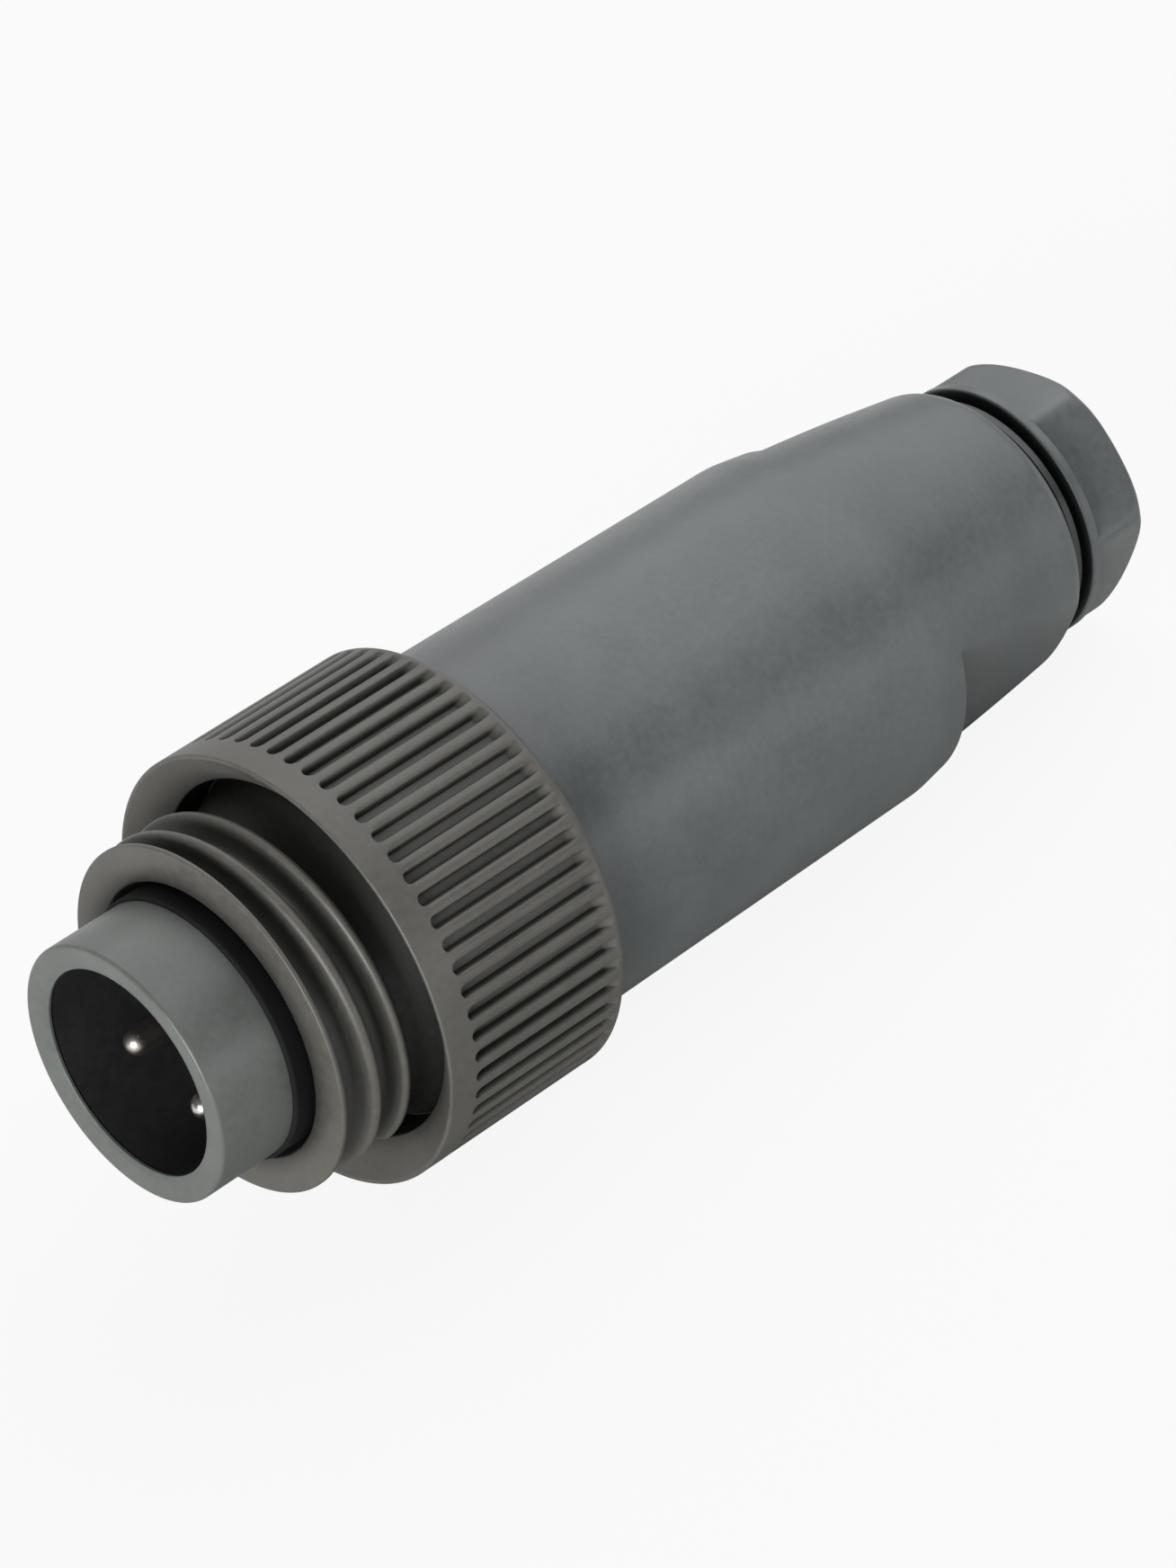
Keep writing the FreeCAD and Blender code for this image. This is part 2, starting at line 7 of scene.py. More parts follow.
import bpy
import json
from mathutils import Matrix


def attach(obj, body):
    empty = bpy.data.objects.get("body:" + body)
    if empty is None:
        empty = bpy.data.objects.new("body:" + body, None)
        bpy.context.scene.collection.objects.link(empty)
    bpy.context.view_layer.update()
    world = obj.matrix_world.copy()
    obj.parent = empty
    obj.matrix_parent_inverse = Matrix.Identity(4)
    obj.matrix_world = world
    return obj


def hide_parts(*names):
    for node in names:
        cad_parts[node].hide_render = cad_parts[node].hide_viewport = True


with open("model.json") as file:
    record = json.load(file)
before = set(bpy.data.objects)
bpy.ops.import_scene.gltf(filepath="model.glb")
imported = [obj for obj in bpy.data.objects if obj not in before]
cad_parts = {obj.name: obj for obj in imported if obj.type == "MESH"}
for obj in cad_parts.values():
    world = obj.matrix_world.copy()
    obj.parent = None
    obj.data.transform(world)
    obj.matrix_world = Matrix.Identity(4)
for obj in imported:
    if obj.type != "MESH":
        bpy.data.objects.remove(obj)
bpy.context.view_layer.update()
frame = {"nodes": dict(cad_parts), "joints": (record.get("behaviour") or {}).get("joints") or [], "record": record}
print("nodes:", len(frame["nodes"]))

# %% Other modules
import json
import math

import bmesh
import bpy
import numpy as np
from mathutils import Matrix, Vector

MM = 0.001
print("one millimetre is", MM, "metres")

# %% [markdown]
# The plug lies a little nose up, so its pieces are not square to the room. Everything on
# it was turned or moulded about one axis. Its numbers could be typed in, but they would be
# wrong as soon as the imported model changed. So we read that axis from the ring's joint and
# the mating face from the shroud's mount, and then write every point as a radius, an angle
# from the top and a station behind the mating face.

# %% The plug's own axis
SHROUD_MOUNT_STATION = 3.0
ring_joint = next(joint for joint in frame["joints"] if joint["name"] == "ring_spin")
shroud_mount = next(m for m in frame["record"]["mounts"] if m["name"] == "mating_shroud")
REARWARD = Vector(ring_joint["axis"]).normalized()
UPWARD = Vector((-REARWARD.z, 0, REARWARD.x))
SIDEWAYS = REARWARD.cross(UPWARD)
MATING_FACE = Vector(shroud_mount["pos_m"]) - REARWARD * SHROUD_MOUNT_STATION * MM


def outward(angle):
    """The direction away from the axis at an angle in degrees, counted from the top."""
    turn = math.radians(angle)
    return UPWARD * math.cos(turn) + SIDEWAYS * math.sin(turn)


def on_plug(radius, angle, station):
    """A point of the plug in metres, from a radius, an angle and a station in millimetres."""
    return MATING_FACE + REARWARD * station * MM + outward(angle) * radius * MM


print("axis:", tuple(round(x, 4) for x in REARWARD))
print("mating face:", tuple(round(x, 5) for x in MATING_FACE))

# %% [markdown]
# The camera comes before the pieces, because the photo decides how close we must work. It
# looks down on the near side, and it is rolled so that the plug's rear rises to the upper
# right of the picture. A long lens far away gives the flat perspective of a catalogue photo.
# It could be set by hand until the outlines meet, but its numbers were worked out from the
# circles and edges that the photo shows, in the photo's own pixels.

# %% The camera
IMAGE_WIDTH = 1308
IMAGE_HEIGHT = 1744
FOCAL_PIXELS = 7386.0
SENSOR_MM = 36.0
AIM_STATION = 38.84
AIM_DISTANCE = 418.8
AIM_PIXEL = (649.4, 864.9)
VIEW_TO_AXIS = 58.03
NEAR_SIDE_ANGLE = 53.5
PICTURE_RISE = 32.9
CLOSEST = 0.01

slant = math.radians(VIEW_TO_AXIS)
rise = math.radians(PICTURE_RISE)
to_camera = outward(NEAR_SIDE_ANGLE) * math.sin(slant) - REARWARD * math.cos(slant)
axis_right = (REARWARD + to_camera * math.cos(slant)).normalized()
axis_up = to_camera.cross(axis_right)
camera_up = axis_right * math.sin(rise) + axis_up * math.cos(rise)
camera_right = camera_up.cross(to_camera)

lens = bpy.data.cameras.new("product_camera")
lens.sensor_width = SENSOR_MM
lens.sensor_fit = "AUTO"
lens.lens = SENSOR_MM * FOCAL_PIXELS / IMAGE_HEIGHT
lens.shift_x = (IMAGE_WIDTH / 2 - AIM_PIXEL[0]) / IMAGE_HEIGHT
lens.shift_y = (AIM_PIXEL[1] - IMAGE_HEIGHT / 2) / IMAGE_HEIGHT
lens.clip_start = CLOSEST
camera = bpy.data.objects.new("product_camera", lens)
bpy.context.scene.collection.objects.link(camera)
aim = on_plug(0, 0, AIM_STATION)
turn = Matrix((camera_right, camera_up, to_camera)).transposed()
camera.matrix_world = Matrix.Translation(aim + to_camera * AIM_DISTANCE * MM) @ turn.to_4x4()
bpy.context.scene.camera = camera
print("lens:", round(lens.lens, 1), "mm; view down by", round(math.degrees(math.asin(to_camera.z)), 1))

# %% [markdown]
# A material in Blender is a small tree of nodes. Writing each node by hand takes several
# lines, so one helper adds a node, sets its values and links its inputs. Colours are
# written as the hex values that a paint chart gives, and one function makes them linear.
# Blender's noise seldom leaves the range from 0.3 to 0.7, so that is what gets stretched.

# %% Colour and node helpers
NOISE_LOW = 0.3
NOISE_HIGH = 0.7


def linear(hex_colour):
    """An sRGB hex colour as linear red, green, blue and alpha."""
    channels = [int(hex_colour[i:i + 2], 16) / 255 for i in (1, 3, 5)]
    return [c / 12.92 if c <= 0.04045 else ((c + 0.055) / 1.055) ** 2.4 for c in channels] + [1.0]


def add(tree, kind, links=None, inputs=None, **settings):
    """Adds one node: settings are its properties, inputs its values, links its incoming wires."""
    node = tree.nodes.new("ShaderNode" + kind)
    for name, value in settings.items():
        setattr(node, name, value)
    for name, value in (inputs or {}).items():
        node.inputs[name].default_value = value
    for name, socket in (links or {}).items():
        tree.links.new(socket, node.inputs[name])
    return node


def per_metre(size_mm):
    """The scale of a pattern whose features are size_mm across."""
    return 1 / (size_mm * MM)


def new_material(name, preview):
    """An empty material whose viewport colour is its own."""
    material = bpy.data.materials.new(name)
    material.use_nodes = True
    material.node_tree.nodes.clear()
    material.diffuse_color = linear(preview)
    return material


print("mid grey #808080 is", round(linear("#808080")[0], 3), "in linear light")

# %% [markdown]
# The housing, the shroud and the nut are glass-filled polyamide, moulded in a spark-eroded
# tool. The tool leaves a fine matte grain, so there are no sharp reflections: the eye sees a
# soft sheen that breaks up. The real grains are some hundredths of a millimetre wide, too
# fine to show here, and are drawn about three times as coarse. The glass and the pigment
# also mottle the grey a little. The colour is also darkened in inner corners, as painted
# shade where other surfaces close round. That could be painted by hand, but the Ambient
# Occlusion node finds such corners by itself on any piece.

# %% Moulded plastic
GRAIN_MM = 0.16
FLOW_MM = 5.0
MOTTLE_MM = 0.55
GRAIN_STRENGTH = 0.7
MOTTLE_DARK = 0.36
MOTTLE_LIGHT = 0.64
CORNER_MM = 3.0
CORNER_RAYS = 8
CORNER_CLOSED = 0.35
CORNER_OPEN = 0.8
CORNER_DARKNESS = 0.85
PLASTIC_IOR = 1.5
PLASTIC_SPECULAR = 0.5
SMOOTHER = 0.05
ROUGHER = 0.06


def moulded_plastic(name, base, light, dark, roughness, grain_depth_mm,
                    specular=PLASTIC_SPECULAR, local_shade=None):
    """Matte moulded plastic with painted shade in inner corners; local_shade makes another factor for the colour
    from the place.
    """
    material = new_material(name, base)
    tree = material.node_tree
    place = add(tree, "TexCoord").outputs["Object"]
    flow = add(tree, "TexNoise", {"Vector": place}, {"Scale": per_metre(FLOW_MM), "Detail": 3.0})
    mottle = add(tree, "TexNoise", {"Vector": place}, {"Scale": per_metre(MOTTLE_MM), "Detail": 4.0})
    grain = add(tree, "TexNoise", {"Vector": place}, {"Scale": per_metre(GRAIN_MM), "Detail": 2.0})
    both = add(tree, "Math", {0: flow.outputs["Fac"], 1: mottle.outputs["Fac"]}, operation="ADD")
    half = add(tree, "Math", {0: both.outputs[0]}, {1: 0.5}, operation="MULTIPLY")
    ramp = add(tree, "ValToRGB", {"Fac": half.outputs[0]})
    ramp.color_ramp.elements[0].position = MOTTLE_DARK
    ramp.color_ramp.elements[0].color = linear(dark)
    ramp.color_ramp.elements[1].position = MOTTLE_LIGHT
    ramp.color_ramp.elements[1].color = linear(light)
    middle = ramp.color_ramp.elements.new((MOTTLE_DARK + MOTTLE_LIGHT) / 2)
    middle.color = linear(base)
    # Painted shade: the colour darkens where the Ambient Occlusion node finds other surfaces close.
    corners = add(tree, "AmbientOcclusion", inputs={"Distance": CORNER_MM * MM}, samples=CORNER_RAYS)
    painted_corner_shade = add(tree, "MapRange", {"Value": corners.outputs["AO"]},
                {"From Min": CORNER_CLOSED, "From Max": CORNER_OPEN,
                 "To Min": 1 - CORNER_DARKNESS, "To Max": 1.0})
    shade = painted_corner_shade.outputs["Result"]
    if local_shade:
        shade = add(tree, "Math", {0: shade, 1: local_shade(tree, place)}, operation="MULTIPLY").outputs[0]
    colour = add(tree, "VectorMath", {"Vector": ramp.outputs["Color"], "Scale": shade}, operation="SCALE")
    sheen = add(tree, "MapRange", {"Value": mottle.outputs["Fac"]},
                {"From Min": NOISE_LOW, "From Max": NOISE_HIGH,
                 "To Min": roughness - SMOOTHER, "To Max": roughness + ROUGHER})
    bump = add(tree, "Bump", {"Height": grain.outputs["Fac"]},
               {"Strength": GRAIN_STRENGTH, "Distance": grain_depth_mm * MM})
    shader = add(tree, "BsdfPrincipled",
                 {"Base Color": colour.outputs["Vector"], "Roughness": sheen.outputs["Result"],
                  "Normal": bump.outputs["Normal"]},
                 {"IOR": PLASTIC_IOR, "Specular IOR Level": specular})
    add(tree, "OutputMaterial", {"Surface": shader.outputs[0]})
    return material


print("corners are darker within", CORNER_MM, "mm")

# %% [markdown]
# The housing and the nut are a bluish grey, and the shroud is a little greener. Both have the
# same satin surface. A colour is given as a middle, a light and a dark value, and the mottle
# runs through all three.

# %% The housing's and the shroud's plastic
SATIN = 0.38
SPARK_GRAIN_MM = 0.015

housing_plastic = moulded_plastic(
    "polyamide_blue_grey", "#606566", "#666B6C", "#5A5F60", SATIN, SPARK_GRAIN_MM)
shroud_plastic = moulded_plastic(
    "polyamide_green_grey", "#5F6360", "#656966", "#595D5A", SATIN, SPARK_GRAIN_MM)
print("greys:", housing_plastic.name, shroud_plastic.name)

# %% [markdown]
# The coupling ring is the same plastic in a warmer grey. Behind its thread lies a deep groove
# that little light reaches, and its colour gets a painted shade there that makes it nearly
# black. A dark copy of the material would end in a hard edge there, so the same recipe gets a
# painted shade that fades in with the radius and with the distance from the mating face.

# %% The ring's plastic
MATTE = 0.45
GROOVE_R = 10.5
GROOVE_START = 12.6
GROOVE_FADE = 0.8
GROOVE_SHADE = 0.3


def painted_groove_shade(tree, place):
    """Painted shade: one in the open and less in the groove behind the ring's thread."""
    from_face = add(tree, "VectorMath", {0: place}, {1: MATING_FACE}, operation="SUBTRACT").outputs["Vector"]
    along = add(tree, "VectorMath", {0: from_face}, {1: REARWARD}, operation="DOT_PRODUCT").outputs["Value"]
    foot = add(tree, "VectorMath", {"Scale": along}, {0: REARWARD}, operation="SCALE").outputs["Vector"]
    radius = add(tree, "VectorMath", {0: from_face, 1: foot}, operation="DISTANCE").outputs["Value"]
    deep = add(tree, "MapRange", {"Value": radius},
               {"From Min": GROOVE_R * MM, "From Max": (GROOVE_R + GROOVE_FADE) * MM,
                "To Min": GROOVE_SHADE, "To Max": 1.0})
    back = add(tree, "MapRange", {"Value": along},
               {"From Min": (GROOVE_START - GROOVE_FADE) * MM, "From Max": GROOVE_START * MM,
                "To Min": 1.0, "To Max": GROOVE_SHADE})
    return add(tree, "Math", {0: deep.outputs["Result"], 1: back.outputs["Result"]},
               operation="MAXIMUM").outputs[0]


# The ring's colour carries painted shade in the groove behind the thread, on top of the painted corner shade.
ring_plastic = moulded_plastic(
    "polyamide_warm_grey", "#585752", "#5E5D58", "#52514C", MATTE, SPARK_GRAIN_MM,
    local_shade=painted_groove_shade)
print("ring:", ring_plastic.name)

# %% [markdown]
# Two more plastics come from the recipe. The thrust washer and the lock ring are a darker
# polyamide. The insert that holds the contacts is black thermoplastic polyester, which
# keeps its size near a hot contact. Real black plastic still returns some light, so its
# colour is a very dark grey.

# %% The darker plastics
INSERT_GRAIN_MM = 0.012

washer_plastic = moulded_plastic(
    "polyamide_dark_grey", "#4A4D4F", "#505355", "#444749", SATIN, SPARK_GRAIN_MM)
insert_plastic = moulded_plastic(
    "thermoplastic_polyester_black", "#29292B", "#2E2E30", "#242426", MATTE, INSERT_GRAIN_MM)
print("darker:", washer_plastic.name, insert_plastic.name)

# %% [markdown]
# The contacts are turned brass with a silver plating. Silver is almost white, with a faint
# warm tone, and the lathe leaves fine rings across the pin that stretch its highlights.
# The shader's own anisotropy could stretch them too, but it needs a tangent on every piece,
# and rings drawn by the distance along the plug need none. They are only a few hundredths
# of a millimetre apart, too fine to show here, so they are drawn three times as coarse. The
# screws are zinc-plated steel, bluer and duller, and the clip that holds the ring is spring
# steel, darkened when it was hardened.

# %% Metals
TURNING_MM = 0.12
TURNING_DEPTH_MM = 0.004
TURNING_STRENGTH = 0.4
TARNISH_MM = 1.4
TARNISHED = 0.3
BRIGHT = 0.6
DULLED = 0.08
POLISHED = 0.04
SILVER_ROUGHNESS = 0.3
ZINC_ROUGHNESS = 0.35
STEEL_ROUGHNESS = 0.38


def turned_metal(name, colour, tarnish, roughness):
    """Plated metal from a lathe: rings about the plug's axis and a faint uneven tarnish."""
    material = new_material(name, colour)
    tree = material.node_tree
    place = add(tree, "TexCoord").outputs["Object"]
    along = add(tree, "VectorMath", {0: place}, {1: REARWARD}, operation="DOT_PRODUCT")
    phase = add(tree, "Math", {0: along.outputs["Value"]},
                {1: 2 * math.pi * per_metre(TURNING_MM)}, operation="MULTIPLY")
    rings = add(tree, "Math", {0: phase.outputs[0]}, operation="SINE")
    cloud = add(tree, "TexNoise", {"Vector": place}, {"Scale": per_metre(TARNISH_MM), "Detail": 5.0})
    ramp = add(tree, "ValToRGB", {"Fac": cloud.outputs["Fac"]})
    ramp.color_ramp.elements[0].position = TARNISHED
    ramp.color_ramp.elements[0].color = linear(tarnish)
    ramp.color_ramp.elements[1].position = BRIGHT
    ramp.color_ramp.elements[1].color = linear(colour)
    rough = add(tree, "MapRange", {"Value": cloud.outputs["Fac"]},
                {"From Min": NOISE_LOW, "From Max": NOISE_HIGH,
                 "To Min": roughness + DULLED, "To Max": roughness - POLISHED})
    bump = add(tree, "Bump", {"Height": rings.outputs[0]},
               {"Strength": TURNING_STRENGTH, "Distance": TURNING_DEPTH_MM * MM})
    shader = add(tree, "BsdfPrincipled",
                 {"Base Color": ramp.outputs["Color"], "Roughness": rough.outputs["Result"],
                  "Normal": bump.outputs["Normal"]}, {"Metallic": 1.0})
    add(tree, "OutputMaterial", {"Surface": shader.outputs[0]})
    return material


contact_silver = turned_metal("silver_plated_brass", "#DAD7CF", "#BDB8AC", SILVER_ROUGHNESS)
screw_zinc = turned_metal("zinc_plated_steel", "#B9BCBE", "#A2A4A4", ZINC_ROUGHNESS)
clip_steel = turned_metal("blued_spring_steel", "#6E7074", "#5A5B60", STEEL_ROUGHNESS)
print("metals:", contact_silver.name, screw_zinc.name, clip_steel.name)

# %% [markdown]
# The seals are nitrile rubber, black and dull. The plastic recipe gives it with a rougher
# surface, a coarser grain and half the usual reflection, because a matte rubber swallows
# most of what falls on it.

# %% Rubber
RUBBER_ROUGHNESS = 0.8
RUBBER_GRAIN_MM = 0.03
RUBBER_SPECULAR = 0.25

seal_rubber = moulded_plastic(
    "nitrile_rubber", "#111112", "#161617", "#0D0D0E", RUBBER_ROUGHNESS, RUBBER_GRAIN_MM, RUBBER_SPECULAR)
print("rubber:", seal_rubber.name)

# %% [markdown]
# Almost every piece is round. A Screw modifier could spin a profile, and booleans could cut
# the rest, but cuts leave ragged faces just where the light catches an edge. So one helper
# does the modelling. It takes rows of points, each a circle about the axis with its own
# radius and station, and joins each row to the next and the last to the first. A row may
# also change with the angle, and that one idea gives the thread, the ribs, the wrench flats
# and the hexagon.

# %% A skin of rows about the axis
WELD_MM = 0.0005
CREASE_DEGREES = 38
FINE_STEP = 1.25
FINE_TURN = np.arange(0, 360, FINE_STEP)


def smooth_by_angle(piece, degrees):
    """Smooth shading, with a crease wherever two faces meet at more than this angle."""
    piece.data.polygons.foreach_set("use_smooth", [True] * len(piece.data.polygons))
    piece.data.set_sharp_from_angle(angle=math.radians(degrees))


def skin(name, rows, angles, material, closed_turn=True, crease=CREASE_DEGREES):
    """A closed mesh through rows of (radius, station); either may be an array over the angles."""
    angles = np.asarray(angles, float)
    radius = np.array([np.broadcast_to(row[0], angles.shape) for row in rows])
    station = np.array([np.broadcast_to(row[1], angles.shape) for row in rows])
    turn = np.radians(angles)
    out = np.outer(np.cos(turn), UPWARD) + np.outer(np.sin(turn), SIDEWAYS)
    points = np.array(MATING_FACE) + MM * (
        radius[..., None] * out[None] + station[..., None] * np.array(REARWARD)
    )
    count = len(angles)
    spans = count if closed_turn else count - 1
    faces = []
    for i in range(len(rows)):
        here = i * count
        ahead = (i + 1) % len(rows) * count
        for j in range(spans):
            k = (j + 1) % count
            faces.append((here + j, ahead + j, ahead + k, here + k))
    mesh = bpy.data.meshes.new(name)
    mesh.from_pydata(points.reshape(-1, 3).tolist(), [], faces)
    body = bmesh.new()
    body.from_mesh(mesh)
    bmesh.ops.remove_doubles(body, verts=body.verts, dist=WELD_MM * MM)
    bmesh.ops.recalc_face_normals(body, faces=body.faces)
    body.to_mesh(mesh)
    body.free()
    piece = bpy.data.objects.new(name, mesh)
    bpy.context.scene.collection.objects.link(piece)
    piece.data.materials.append(material)
    smooth_by_angle(piece, crease)
    print(name, len(mesh.vertices), "points,", len(mesh.polygons), "faces")
    return piece


# %% [markdown]
# A profile is easier to write as a few corners, where a third number rounds a corner. Real
# moulded edges are never perfectly sharp, and the small roundings catch the light. A Bevel
# modifier could make them, but every corner here has a rounding of its own size, and that
# reads best beside the corner.

# %% Rounded corners
DEGREES_A_STEP = 12
FEWEST_STEPS = 2


def rounded(corners):
    """Rows through (radius, station, rounding) corners, with each rounding as a small arc."""
    rows = []
    for i, corner in enumerate(corners):
        point = Vector(corner[:2])
        size = corner[2] if len(corner) > 2 else 0
        if not size:
            rows.append(tuple(point))
            continue
        back = (Vector(corners[i - 1][:2]) - point).normalized()
        ahead = (Vector(corners[(i + 1) % len(corners)][:2]) - point).normalized()
        half = back.angle(ahead) / 2
        bisector = (back + ahead).normalized()
        centre = point + bisector * (size / math.sin(half))
        start = point + back * (size / math.tan(half)) - centre
        end = point + ahead * (size / math.tan(half)) - centre
        sweep = start.angle_signed(end)
        steps = FEWEST_STEPS + math.ceil(math.degrees(abs(sweep)) / DEGREES_A_STEP)
        for step in range(steps + 1):
            rows.append(tuple(centre + Matrix.Rotation(-sweep * step / steps, 2) @ start))
    return rows


print("a rounded square has", len(rounded([(0, 0, 0.2), (2, 0, 0.2), (2, 2, 0.2), (0, 2, 0.2)])), "rows")

# %% [markdown]
# The front shell is one moulding: the shroud that shows, a flange under the ring and a
# spigot inside the housing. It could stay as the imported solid, but its rim sits nearest the
# camera, so it gets fine circles and softly broken edges. The rim also leans in a little,
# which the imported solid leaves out.

# %% The front shell
SHROUD_R = 8.86
MOUTH_R = 7.1
RIM_CHAMFER = 0.35
RIM_LEAN = 0.22
RIM_DEPTH = 0.6
RIM_EDGE = 0.08
SHROUD_EDGE = 0.25
LINER_SEAT_R = 7.73
SEAL_START = 5.7
SEAL_END = 7.9
SEAL_FLOOR_R = 8.56
CLIP_START = 16.45
CLIP_END = 17.35
CLIP_FLOOR_R = 8.31
FLANGE_R = 12.5
FLANGE_START = 20.8
FLANGE_END = 23.7
SPIGOT_R = 11.0
SPIGOT_END = 31.1
SPIGOT_BORE_R = 9.3
SPIGOT_CHAMFER = 0.6
INSERT_SEAT = 22.25
HIDDEN_EDGE = 0.15

shell_rows = rounded([
    (MOUTH_R + RIM_CHAMFER, RIM_LEAN, RIM_EDGE),
    (SHROUD_R, 0, SHROUD_EDGE),
    (SHROUD_R, SEAL_START),
    (SEAL_FLOOR_R, SEAL_START),
    (SEAL_FLOOR_R, SEAL_END),
    (SHROUD_R, SEAL_END),
    (SHROUD_R, CLIP_START),
    (CLIP_FLOOR_R, CLIP_START),
    (CLIP_FLOOR_R, CLIP_END),
    (SHROUD_R, CLIP_END),
    (SHROUD_R, FLANGE_START),
    (FLANGE_R, FLANGE_START, HIDDEN_EDGE),
    (FLANGE_R, FLANGE_END, HIDDEN_EDGE),
    (SPIGOT_R, FLANGE_END),
    (SPIGOT_R, SPIGOT_END - SPIGOT_CHAMFER),
    (SPIGOT_R - SPIGOT_CHAMFER, SPIGOT_END),
    (SPIGOT_BORE_R, SPIGOT_END, HIDDEN_EDGE),
    (SPIGOT_BORE_R, INSERT_SEAT),
    (LINER_SEAT_R, INSERT_SEAT),
    (LINER_SEAT_R, RIM_DEPTH),
    (MOUTH_R, RIM_DEPTH, RIM_EDGE),
    (MOUTH_R, RIM_CHAMFER, RIM_EDGE),
])
shroud = skin("shroud_moulding", shell_rows, FINE_TURN, shroud_plastic)
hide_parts("front_shell")
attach(shroud, "shell")

# %% [markdown]
# The coupling ring is the hardest piece. Its sleeve carries a round thread, with rounded
# crests and roots joined by steep flanks, which a thumb can start and dirt can't jam. Its
# section could be a list of points, but a formula can be asked for any place on the helix.
# So one function gives the radius at a distance from a crest: an arc, a slope or another arc.

# %% The round thread's section
THREAD_CREST_R = 12.0
THREAD_PITCH = 3.175
THREAD_DEPTH = 1.5875
CREST_ROUND = 0.45
ROOT_ROUND = 1.064
FLANK_ANGLE = 15.0
THREAD_ROOT_R = THREAD_CREST_R - THREAD_DEPTH
flank = math.radians(FLANK_ANGLE)
CREST_REACH = CREST_ROUND * math.cos(flank)
ROOT_REACH = THREAD_PITCH / 2 - ROOT_ROUND * math.cos(flank)


def thread_radius(offset):
    """The thread's radius at an offset along the axis from a crest, in millimetres."""
    near = np.abs((np.asarray(offset) + THREAD_PITCH / 2) % THREAD_PITCH - THREAD_PITCH / 2)
    crest = THREAD_CREST_R - CREST_ROUND + np.sqrt(np.clip(CREST_ROUND ** 2 - near ** 2, 0, None))
    to_root = THREAD_PITCH / 2 - near
    root = THREAD_ROOT_R + ROOT_ROUND - np.sqrt(np.clip(ROOT_ROUND ** 2 - to_root ** 2, 0, None))
    high = THREAD_CREST_R - CREST_ROUND * (1 - math.sin(flank))
    low = THREAD_ROOT_R + ROOT_ROUND * (1 - math.sin(flank))
    between = high + (low - high) * (near - CREST_REACH) / (ROOT_REACH - CREST_REACH)
    return np.where(near < CREST_REACH, crest, np.where(near > ROOT_REACH, root, between))


print("crest:", round(float(thread_radius(0)), 2), "root:", round(float(thread_radius(THREAD_PITCH / 2)), 2))

# %% [markdown]
# The ring's grip has sixty square grooves. Sixty boolean cuts would be slow and ragged, so
# the section goes round the ring as a list of depths. Ten points for each groove are enough,
# if they sit where the section bends: at the floor's edges, on the walls and on the ridge's
# shoulders. A section is an angle from the groove's middle and a share of its depth. The
# cutter that made the mould was round, so each groove's front end is round too, and at the
# rear the floor rises in a slope. Both ends are pairs of a distance and a share of the depth,
# in front from the groove's end and at the rear from the mating face.

# %% The grip's section
SKIRT_R = 14.9
RIB_COUNT = 60
RIB_START = 15.1
RIB_DEPTH = 0.6
RIB_SECTION = [(-3.0, 0), (-1.9, 0), (-1.55, 0.14), (-1.3, 0.64), (-1.05, 1),
               (0, 1), (1.05, 1), (1.3, 0.64), (1.55, 0.14), (1.9, 0)]
RIB_FRONT = [(0, 0), (0.05, 0.12), (0.1, 0.7), (0.2, 1)]
RIB_FRONT_ROUND = 0.45
RIB_REAR = [(26.35, 1), (26.45, 0.96), (27.15, 0.12), (27.25, 0.02), (27.3, 0)]


def round_the_ring(section_values):
    """The section's values for every groove, and the first once more where the turn closes."""
    return np.append(np.tile(section_values, RIB_COUNT), section_values[0])


rib_pitch = 360 / RIB_COUNT
rib_angles = np.array([(i + 0.5) * rib_pitch + a for i in range(RIB_COUNT) for a, _ in RIB_SECTION])
ring_angles = np.append(rib_angles, 360)
groove = round_the_ring([depth for _, depth in RIB_SECTION]) * RIB_DEPTH
across = round_the_ring([math.radians(abs(a)) * SKIRT_R for a, _ in RIB_SECTION])
front_curve = RIB_FRONT_ROUND - np.sqrt(np.clip(RIB_FRONT_ROUND ** 2 - across ** 2, 0, None))
print("grooves:", RIB_COUNT, "angles:", len(ring_angles))

# %% [markdown]
# Next come the crests' places. A crest climbs one pitch in a turn, and its station is
# measured on the side that faces the camera. The last crest is the third one, and it ends
# underneath. It lies a little closer to the second: the shift fades in over RUN_IN degrees
# from its start, and over its last RUN_OUT degrees the crest sinks into the sleeve.

# %% The crests
CREST_ANGLE = NEAR_SIDE_ANGLE
CREST_STATION = 6.25
LAST_CREST_SHIFT = 0.8
RUN_OUT = 40
RUN_IN = 70

first_crest = CREST_STATION + (ring_angles - CREST_ANGLE) / 360 * THREAD_PITCH
signed_angles = (ring_angles + 180) % 360 - 180
last_crest = CREST_STATION + 2 * THREAD_PITCH + (signed_angles - CREST_ANGLE) / 360 * THREAD_PITCH
run_out = 1 - np.clip((180 - signed_angles) / RUN_OUT, 0, 1)
last_shift = LAST_CREST_SHIFT * np.clip((180 + signed_angles) / RUN_IN, 0, 1)
print("last crest from", round(float(last_crest.min()), 2), "to", round(float(last_crest.max()), 2))

# %% [markdown]
# Rows that ran straight round would cut the thread's steep flanks into steps. So the rows
# climb with the helix, with most of them on the crests and in the roots, where the section
# bends, and they are held at the front and at the back of the thread.

# %% Rows that climb with the thread
CREST_POINTS = 6
ROOT_POINTS = 4
SPARE_TURNS = 2
RELIEF_R = 9.9
RELIEF_BEHIND_CREST = 0.62
RELIEF_SLOPE = 0.25

flank_points = np.unique(np.concatenate([
    np.linspace(0, CREST_REACH, CREST_POINTS), np.linspace(ROOT_REACH, THREAD_PITCH / 2, ROOT_POINTS),
]))
pitch_points = np.unique(np.concatenate([-flank_points[1:], flank_points]))[1:]


